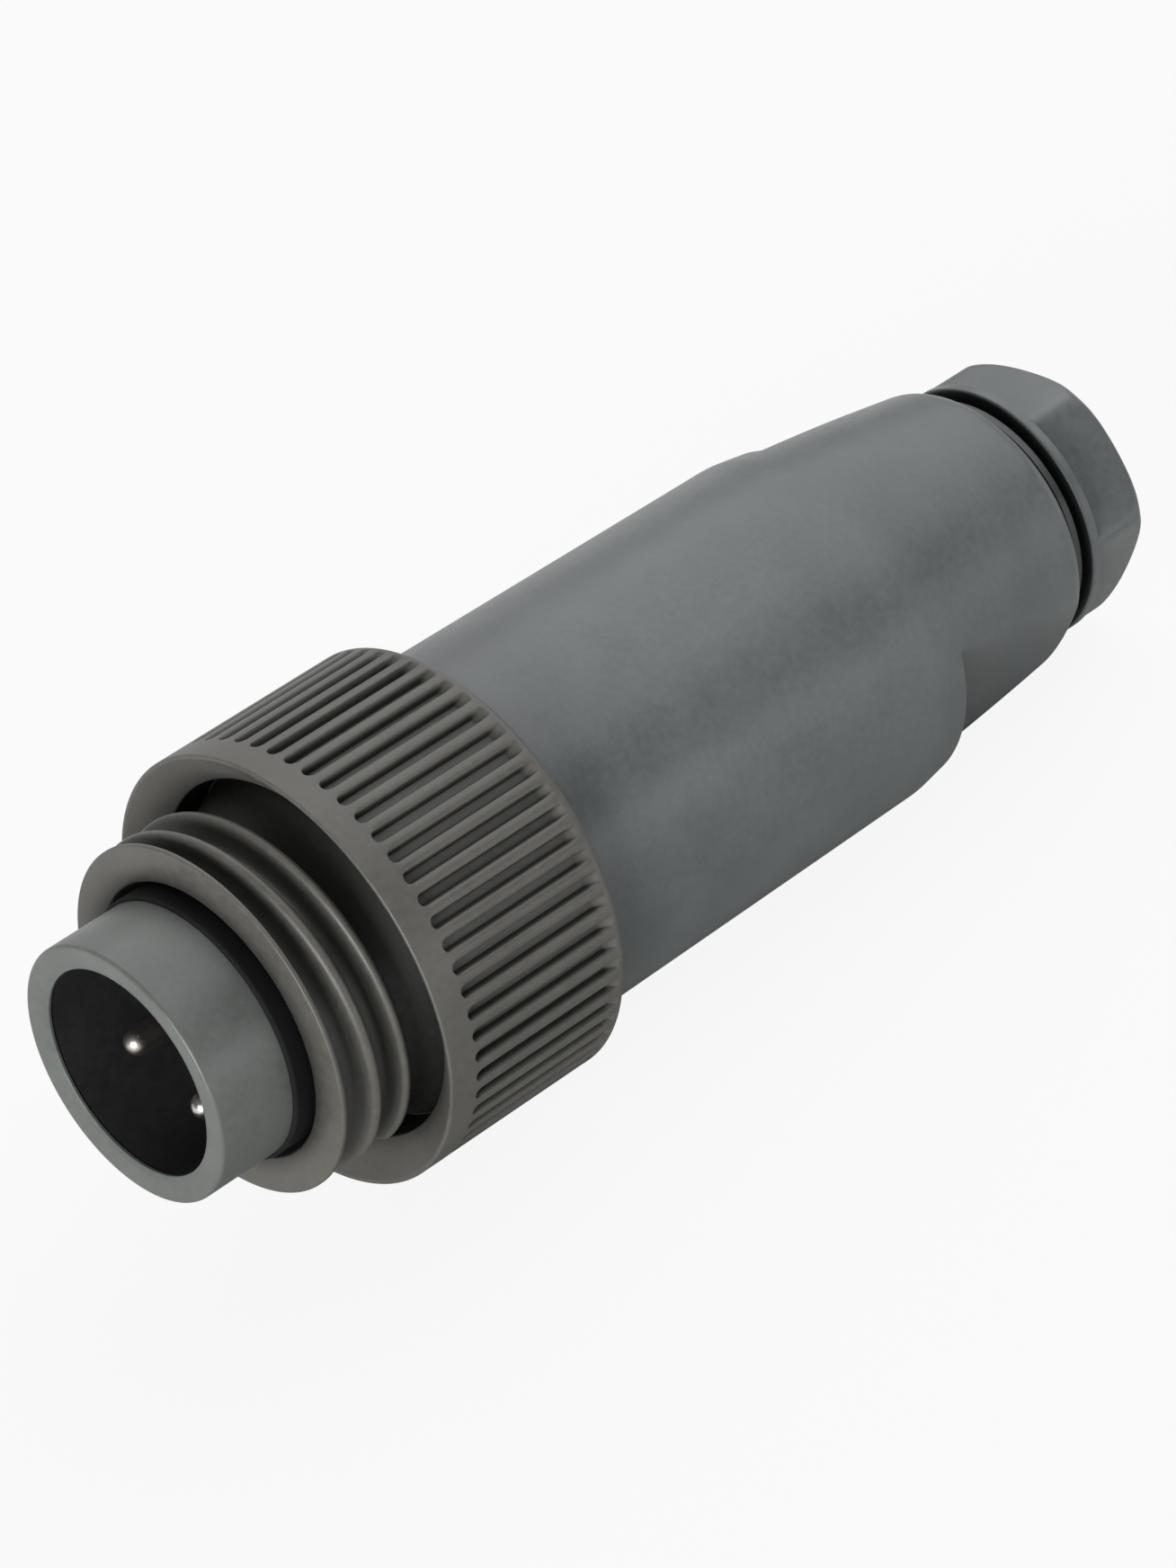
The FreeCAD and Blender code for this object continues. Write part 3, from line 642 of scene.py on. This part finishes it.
def helix_rows(start, end):
    """Rows that climb with the thread, held at two stations."""
    rows = []
    turns = math.ceil((np.max(end) - start) / THREAD_PITCH)
    for turn_index in range(-SPARE_TURNS, turns + SPARE_TURNS):
        for offset in pitch_points:
            place = np.clip(first_crest + turn_index * THREAD_PITCH + offset, start, end)
            behind_second = place - last_crest + THREAD_PITCH
            past_second = np.clip(behind_second / THREAD_PITCH, 0, 1)
            relieved = np.clip((behind_second - RELIEF_BEHIND_CREST) / RELIEF_SLOPE, 0, 1) * run_out
            radius = thread_radius(place - first_crest)
            rows.append((radius + (RELIEF_R - radius) * relieved, place - last_shift * past_second))
    return rows


print("rows in a pitch:", len(pitch_points))

# %% [markdown]
# Now the ring as a whole. The sleeve's mouth is a thin plain lip, and the thread starts
# behind it. Behind the last crest the sleeve is narrower, a relief in which the mating
# thread can end. The skirt's front is dished, so that it looks broad at the sides and
# vanishes where it is near.

# %% The sleeve's rows
SLEEVE_START = 6.9
SLEEVE_BORE_R = 9.45
SLEEVE_EDGE = 0.14
SLEEVE_LIP = 0.4
LIP_REAR = [(-0.12, 1), (-0.05, 0.94), (-0.01, 0.8), (0.01, 0.3), (0.05, 0)]

lip_end = SLEEVE_START + SLEEVE_LIP
behind_lip = thread_radius(lip_end - first_crest)
ring_rows = rounded([
    (SLEEVE_BORE_R + SLEEVE_EDGE, SLEEVE_START),
    (THREAD_CREST_R, SLEEVE_START, SLEEVE_EDGE),
    (THREAD_CREST_R, lip_end),
])[:-1]
ring_rows += [
    (behind_lip + (THREAD_CREST_R - behind_lip) * share, lip_end + ahead) for ahead, share in LIP_REAR
]
relief_start = last_crest + RELIEF_BEHIND_CREST
ring_rows += helix_rows(lip_end + LIP_REAR[-1][0], relief_start)
ring_rows.append((RELIEF_R, relief_start - last_shift + RELIEF_SLOPE))
print("sleeve rows:", len(ring_rows))

# %% The skirt's measures
WEB_START = 17.5
WEB_END = 20.5
WEB_BORE_R = 8.94
SKIRT_START = 13.1
SKIRT_END = 27.95
DISH_R = 14.65
RECESS_R = 12.4
RECESS_START = 14.8
RECESS_ROUND = 0.25
WEB_ROUND = 0.1
DISH_ROUND = 0.3
SKIRT_FRONT_EDGE = 0.15
PLAIN_BEFORE_RIBS = 0.3
SKIRT_REAR_BORE_R = 13.1
REAR_CHAMFER = 0.45
REAR_LAND = 0.05
REAR_EDGE = 0.1
REAR_FACE_EDGE = 0.12
REAR_BORE_CHAMFER = 0.2
RIB_CREASE = 50
print("skirt:", round(SKIRT_END - SKIRT_START, 2), "mm long")

# %% The skirt's rows and the ring
ring_rows += rounded([
    (RELIEF_R, WEB_START),
    (RECESS_R, WEB_START, WEB_ROUND),
    (RECESS_R, RECESS_START, RECESS_ROUND),
    (DISH_R, SKIRT_START, DISH_ROUND),
    (SKIRT_R, SKIRT_START, SKIRT_FRONT_EDGE),
    (SKIRT_R, RIB_START - PLAIN_BEFORE_RIBS),
])[1:]
ring_rows += [(SKIRT_R - groove * share, RIB_START + ahead + front_curve) for ahead, share in RIB_FRONT]
ring_rows += [(SKIRT_R - groove * share, place) for place, share in RIB_REAR]
ring_rows += rounded([
    (SKIRT_R, SKIRT_END - REAR_CHAMFER - REAR_LAND),
    (SKIRT_R, SKIRT_END - REAR_CHAMFER, REAR_EDGE),
    (SKIRT_R - REAR_CHAMFER, SKIRT_END, REAR_FACE_EDGE),
    (SKIRT_REAR_BORE_R + REAR_BORE_CHAMFER, SKIRT_END),
    (SKIRT_REAR_BORE_R, SKIRT_END - REAR_BORE_CHAMFER),
    (SKIRT_REAR_BORE_R, WEB_END),
    (WEB_BORE_R, WEB_END),
    (WEB_BORE_R, WEB_START),
    (SLEEVE_BORE_R, WEB_START),
    (SLEEVE_BORE_R, SLEEVE_START + SLEEVE_EDGE),
])[1:]
ring = skin("threaded_ribbed_ring", ring_rows, ring_angles, ring_plastic,
            closed_turn=False, crease=RIB_CREASE)
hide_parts("coupling_ring")
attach(ring, "ring")

# %% [markdown]
# The housing is a long moulding with a slight draft, then a cone. Two wrench flats are cut
# into the cone, to hold the housing while the nut is turned. They could be cut by a boolean,
# but that leaves ragged faces and a hard edge. A flat at a fixed distance from the axis is a
# radius that grows with the angle from its middle, so the skin takes the smaller of the two
# radii, softly blended.

# %% Soft choice of the smaller size


def soft_min(a, b, blend):
    """The smaller of two sizes, rounded off where they are nearly equal."""
    near = np.clip(blend - np.abs(a - b), 0, None) / blend
    return np.minimum(a, b) - near ** 2 * blend / 4


print("1 and 1.05 blend to", round(float(soft_min(1.0, 1.05, 0.2)), 3))

# %% The housing's measures
HOUSING_START = 23.75
HOUSING_R = 12.8
BEND_R = 12.47
BEND = 58.9
HOUSING_END_R = 9.89
HOUSING_END = 75.1
HOUSING_BORE_R = 11.1
SEAL_POCKET_R = 12.1
SEAL_POCKET_END = 24.8
GLAND_BORE_R = 7.75
GLAND_STOP_R = 5.8
GLAND_BORE_START = 62.95
GLAND_SEAT = 61.55
GLAND_STOP = 59.55
WIRING_END = 51.05
MOUTH_EDGE = 0.3
BEND_ROUND = 6.0
CONE_END_ROUND = 1.6
GLAND_EDGE = 0.2
print("housing:", round(HOUSING_END - HOUSING_START, 2), "mm long")

# %% The wrench flats
FLAT_DISTANCE = 9.5
FLAT_ANGLES = (123.0, 303.0)
FLAT_START = 61.2
FLAT_SHOULDER = 0.1
FLAT_BLEND = 0.18
FLAT_STEP = 0.14
FLAT_REACH = 50
FLAT_LIMIT = 80
SHOULDER_SHARE = 0.6
ROUND_STEP = 2.0
NEAR_FLAT_STEP = 0.5

housing_angles = np.unique(np.concatenate(
    [np.arange(0, 360, ROUND_STEP)]
    + [np.arange(angle - FLAT_REACH, angle + FLAT_REACH, NEAR_FLAT_STEP) % 360 for angle in FLAT_ANGLES]
))
from_flat = np.min([
    np.abs((housing_angles - angle + 180) % 360 - 180) for angle in FLAT_ANGLES
], axis=0)
flat_radius = FLAT_DISTANCE / np.cos(np.radians(np.minimum(from_flat, FLAT_LIMIT)))


def with_flats(radius, station):
    """A housing row, cut by the wrench flats behind their shoulder."""
    if station < FLAT_START:
        return (radius, station)
    depth = min((station - FLAT_START) / FLAT_SHOULDER, 1)
    cut = soft_min(np.full_like(flat_radius, radius), flat_radius, FLAT_BLEND)
    return (radius + (cut - radius) * depth, station)


print("flats:", 2 * FLAT_DISTANCE, "mm across")

# %% [markdown]
# The cone gets rows close together, or the edge where it meets a flat would be a saw. One
# more row lies inside the flats' shoulder and keeps the shoulder crisp.

# %% The housing


def split_rows(rows, step):
    """Adds rows so that no two are further apart than step."""
    result = [rows[0]]
    for row in rows[1:]:
        last = result[-1]
        parts = max(1, math.ceil(math.hypot(row[0] - last[0], row[1] - last[1]) / step))
        result += [tuple(np.array(last) + (np.array(row) - last) * k / parts) for k in range(1, parts + 1)]
    return result


outer = rounded([
    (SEAL_POCKET_R, HOUSING_START),
    (HOUSING_R, HOUSING_START, MOUTH_EDGE),
    (BEND_R, BEND, BEND_ROUND),
    (HOUSING_END_R, HOUSING_END, CONE_END_ROUND),
    (GLAND_BORE_R, HOUSING_END, GLAND_EDGE),
    (GLAND_BORE_R, GLAND_BORE_START),
])[:-1]
front_rows = [row for row in outer if row[1] < FLAT_START]
cone_rows = [row for row in outer if row[1] >= FLAT_START]
shoulder_r = front_rows[-1][0] + (cone_rows[0][0] - front_rows[-1][0]) * (
    (FLAT_START - front_rows[-1][1]) / (cone_rows[0][1] - front_rows[-1][1])
)
cone_rows = split_rows([(shoulder_r, FLAT_START)] + cone_rows, FLAT_STEP)
shoulder = np.array(cone_rows[0]) * (1 - SHOULDER_SHARE) + np.array(cone_rows[1]) * SHOULDER_SHARE
cone_rows.insert(1, tuple(shoulder))
housing_rows = front_rows + [with_flats(*row) for row in cone_rows]
housing_rows += [
    (GLAND_BORE_R, GLAND_BORE_START),
    (GLAND_STOP_R, GLAND_SEAT),
    (GLAND_STOP_R, GLAND_STOP),
    (HOUSING_BORE_R, WIRING_END),
    (HOUSING_BORE_R, SEAL_POCKET_END),
    (SEAL_POCKET_R, SEAL_POCKET_END),
]
housing = skin("tapered_housing", housing_rows, housing_angles, housing_plastic)
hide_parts("housing_sleeve")
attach(housing, "housing")

# %% [markdown]
# The gland nut squeezes the rubber round the cable. It is a hexagon with a round collar in
# front and a domed rear end, and inside the housing it has a threaded shank. A six-sided
# cylinder with bevels would come close, but its dome would not run out over the corners as a
# turned one does. Here all three shapes are radii again: a flat side grows with the angle,
# the dome shrinks with the station, and behind the collar the smaller one wins.

# %% The gland nut
NUT_START = 76.6
NUT_COLLAR_END = 77.3
NUT_END = 82.35
NUT_FLAT = 8.0
NUT_CORNER_R = 9.1476
NUT_BORE_R = 5.25
NUT_THREAD_R = 7.65
NUT_THREAD_START = 71.8
NUT_DOME = 1.8
NUT_FRONT_EDGE = 0.2
NUT_MOUTH_CHAMFER = 0.5
NUT_MOUTH_EDGE = 0.1
NUT_BLEND = 0.3
NUT_STEP = 0.12
NUT_TURN_STEP = 1.0
NUT_SIDES = 6
COLLAR_EDGE = 0.1

nut_angles = np.arange(0, 360, NUT_TURN_STEP)
half_side = 180 / NUT_SIDES
side_turn = np.radians((nut_angles + half_side) % (2 * half_side) - half_side)
side_radius = NUT_FLAT / np.cos(side_turn)
nut_outer = split_rows(rounded([
    (NUT_THREAD_R, NUT_START),
    (NUT_CORNER_R, NUT_START, NUT_FRONT_EDGE),
    (NUT_CORNER_R, NUT_COLLAR_END),
    (NUT_CORNER_R, NUT_END, NUT_DOME),
    (NUT_BORE_R + NUT_MOUTH_CHAMFER, NUT_END, NUT_MOUTH_EDGE),
    (NUT_BORE_R, NUT_END - NUT_MOUTH_CHAMFER, NUT_MOUTH_EDGE),
    (NUT_BORE_R, NUT_THREAD_START),
])[:-1], NUT_STEP)
nut_rows = []
for radius, station in nut_outer:
    flat = np.clip((station - NUT_COLLAR_END) / COLLAR_EDGE, 0, 1)
    hexagon = soft_min(np.full_like(side_radius, radius), side_radius, NUT_BLEND)
    nut_rows.append((radius + (hexagon - radius) * flat, station))
nut_rows += [(NUT_BORE_R, NUT_THREAD_START), (NUT_THREAD_R, NUT_THREAD_START)]
nut = skin("hexagon_gland_nut", nut_rows, nut_angles, housing_plastic)
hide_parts("cap_nut")
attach(nut, "nut")

# %% [markdown]
# The other pieces are small or hidden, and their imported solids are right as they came. They
# could be made again like the large ones, but nobody would see a difference. So they keep
# their shapes and only get their finishes: silver on the contacts, zinc on the screws,
# spring steel on the clip, rubber on the seals and plastic on the rest.

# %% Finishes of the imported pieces
finishes = {
    "contact_insert": insert_plastic,
    "clamp_ring": insert_plastic,
    "insert_lock_ring": washer_plastic,
    "thrust_washer": washer_plastic,
    "ring_clip": clip_steel,
    "interface_seal": seal_rubber,
    "housing_o_ring": seal_rubber,
    "cable_grommet": seal_rubber,
    "earth_pin": contact_silver,
}
finishes.update({f"contact_pin_{i}": contact_silver for i in (1, 2, 3)})
finishes.update({f"terminal_screw_{i}": screw_zinc for i in (1, 2, 3, 4)})
for node, finish in finishes.items():
    slots = frame["nodes"][node].data.materials
    slots.clear()
    slots.append(finish)
print("finished", len(finishes), "packed pieces")

# %% [markdown]
# The photo's background is white with no edge, and hardly a shadow is left on it. The floor is
# a sheet of matte white paper, whose fibres give it a fine tooth. First comes the paper as it
# takes the light.

# %% White paper
PAPER_COLOUR = "#C8C8C6"
PAPER_ROUGHNESS = 0.9
FIBRE_MM = 0.4
TOOTH_MM = 0.02
TOOTH_STRENGTH = 0.3

floor_material = new_material("white_paper", PAPER_COLOUR)
tree = floor_material.node_tree
fibres = add(tree, "TexNoise", {"Vector": add(tree, "TexCoord").outputs["Object"]},
             {"Scale": per_metre(FIBRE_MM), "Detail": 2.0})
tooth = add(tree, "Bump", {"Height": fibres.outputs["Fac"]},
            {"Strength": TOOTH_STRENGTH, "Distance": TOOTH_MM * MM})
paper = add(tree, "BsdfPrincipled", {"Normal": tooth.outputs["Normal"]},
            {"Base Color": linear(PAPER_COLOUR), "Roughness": PAPER_ROUGHNESS})
print("paper:", floor_material.name)

# %% [markdown]
# More light would bleach the paper, but the plug with it. So the camera sees the paper mixed
# with plain white instead, and the plug's shadow stays and is only faint. Reflections see it
# white too, but only well clear of the plug. Close to it the white fades out with the distance
# from the plug, a painted shade for the plug's own shadow, and so its lower half is not too light.

# %% The floor
FLOOR_SIZE = 6.0
PAPER_WHITE = 0.9
MIRROR_WHITE = 0.9
NEAR_PLUG_MM = 35
CLEAR_OF_PLUG_MM = 110

white = add(tree, "Emission", inputs={"Color": linear("#FFFFFF"), "Strength": 1.0})
floor_rays = add(tree, "LightPath")
mirror = add(tree, "Math", {0: floor_rays.outputs["Is Glossy Ray"],
                            1: floor_rays.outputs["Is Transmission Ray"]}, operation="MAXIMUM")
from_plug = add(tree, "VectorMath", {0: add(tree, "TexCoord").outputs["Object"]}, operation="LENGTH")
# Painted shade: the reflected white fades out towards the plug by distance alone.
open_paper = add(tree, "MapRange", {"Value": from_plug.outputs["Value"]},
                 {"From Min": NEAR_PLUG_MM * MM, "From Max": CLEAR_OF_PLUG_MM * MM, "To Min": 0.0,
                  "To Max": MIRROR_WHITE})
mirror_share = add(tree, "Math", {0: mirror.outputs[0], 1: open_paper.outputs["Result"]},
                   operation="MULTIPLY")
camera_share = add(tree, "Math", {0: floor_rays.outputs["Is Camera Ray"]}, {1: PAPER_WHITE},
                   operation="MULTIPLY")
share = add(tree, "Math", {0: camera_share.outputs[0], 1: mirror_share.outputs[0]}, operation="MAXIMUM")
sheet = add(tree, "MixShader", {0: share.outputs[0], 1: paper.outputs[0], 2: white.outputs[0]})
add(tree, "OutputMaterial", {"Surface": sheet.outputs[0]})
floor_mesh = bpy.data.meshes.new("floor")
edge = FLOOR_SIZE / 2
corners = [(-edge, -edge, 0), (edge, -edge, 0), (edge, edge, 0), (-edge, edge, 0)]
floor_mesh.from_pydata(corners, [], [(0, 1, 2, 3)])
floor = bpy.data.objects.new("floor", floor_mesh)
floor_mesh.materials.append(floor_material)
bpy.context.scene.collection.objects.link(floor)
print("floor", FLOOR_SIZE, "m")

# %% [markdown]
# The grey plastic is half matte, so we read the lamps from its soft reflections. A broad
# softbox hangs over the plug, a little behind it, and gives the light band along the top. A
# smaller one stands before the mating end and fills the front faces. A narrow strip, low
# beside the plug, draws the faint band on the near flank, and a weak softbox opens up the
# far side. The side that faces the camera lies between them and stays a shade darker. A
# picture of a studio round the scene could light it too, but lamps can be moved one by one
# until each light band sits where the photo has it. Each row gives a name, an angle from the
# top, a lean to the rear, a distance, the size across and along the plug, and a power:
# degrees, metres and watts.

# %% Lamps
softboxes = [
    ("overhead_softbox", -5, 32, 0.7, 1.1, 0.8, 5.0),
    ("mating_end_softbox", 80, -70, 0.8, 0.4, 0.4, 7.0),
    ("near_strip", 88, 32, 0.7, 0.08, 0.6, 0.9),
    ("far_softbox", -62, 10, 0.8, 0.5, 0.8, 1.0),
]
for name, angle, lean, distance, across, along, power in softboxes:
    tilt = math.radians(lean)
    direction = outward(angle) * math.cos(tilt) + REARWARD * math.sin(tilt)
    sideways = direction.cross(REARWARD).normalized()
    lamp = bpy.data.lights.new(name, "AREA")
    lamp.shape = "RECTANGLE"
    lamp.size = across
    lamp.size_y = along
    lamp.energy = power
    holder = bpy.data.objects.new(name, lamp)
    holder.visible_camera = False
    turn = Matrix((sideways, direction.cross(sideways), direction)).transposed()
    holder.matrix_world = Matrix.Translation(aim + direction * distance) @ turn.to_4x4()
    bpy.context.scene.collection.objects.link(holder)
print("lamps:", [box[0] for box in softboxes])

# %% [markdown]
# The room's own light is low. The camera sees a white room. The reflections see it white close
# to the horizon, where the paper sweeps up, and dim higher up, between the softboxes.

# %% The world
ROOM_LIGHT = 0.19
ROOM_ABOVE = 0.1
SWEEP_LOW = 0.0
SWEEP_HIGH = 0.1

world = bpy.data.worlds.new("studio")
world.use_nodes = True
bpy.context.scene.world = world
tree = world.node_tree
tree.nodes.clear()
rays = add(tree, "LightPath")
mirror = add(tree, "Math", {0: rays.outputs["Is Camera Ray"], 1: rays.outputs["Is Glossy Ray"]},
             operation="MAXIMUM")
seen = add(tree, "Math", {0: mirror.outputs[0], 1: rays.outputs["Is Transmission Ray"]}, operation="MAXIMUM")
room = add(tree, "Background", inputs={"Color": linear("#FFFFFF"), "Strength": ROOM_LIGHT})
height = add(tree, "SeparateXYZ", {"Vector": add(tree, "TexCoord").outputs["Generated"]})
sweep = add(tree, "MapRange", {"Value": height.outputs["Z"]},
            {"From Min": SWEEP_LOW, "From Max": SWEEP_HIGH, "To Min": 1.0, "To Max": ROOM_ABOVE})
whiteness = add(tree, "Math", {0: sweep.outputs["Result"], 1: rays.outputs["Is Camera Ray"]},
                operation="MAXIMUM")
backdrop = add(tree, "Background", {"Strength": whiteness.outputs[0]}, {"Color": linear("#FFFFFF")})
either = add(tree, "MixShader", {0: seen.outputs[0], 1: room.outputs[0], 2: backdrop.outputs[0]})
add(tree, "OutputWorld", {"Surface": either.outputs[0]})
bpy.context.scene.view_settings.view_transform = "Standard"
print("room light", ROOM_LIGHT)
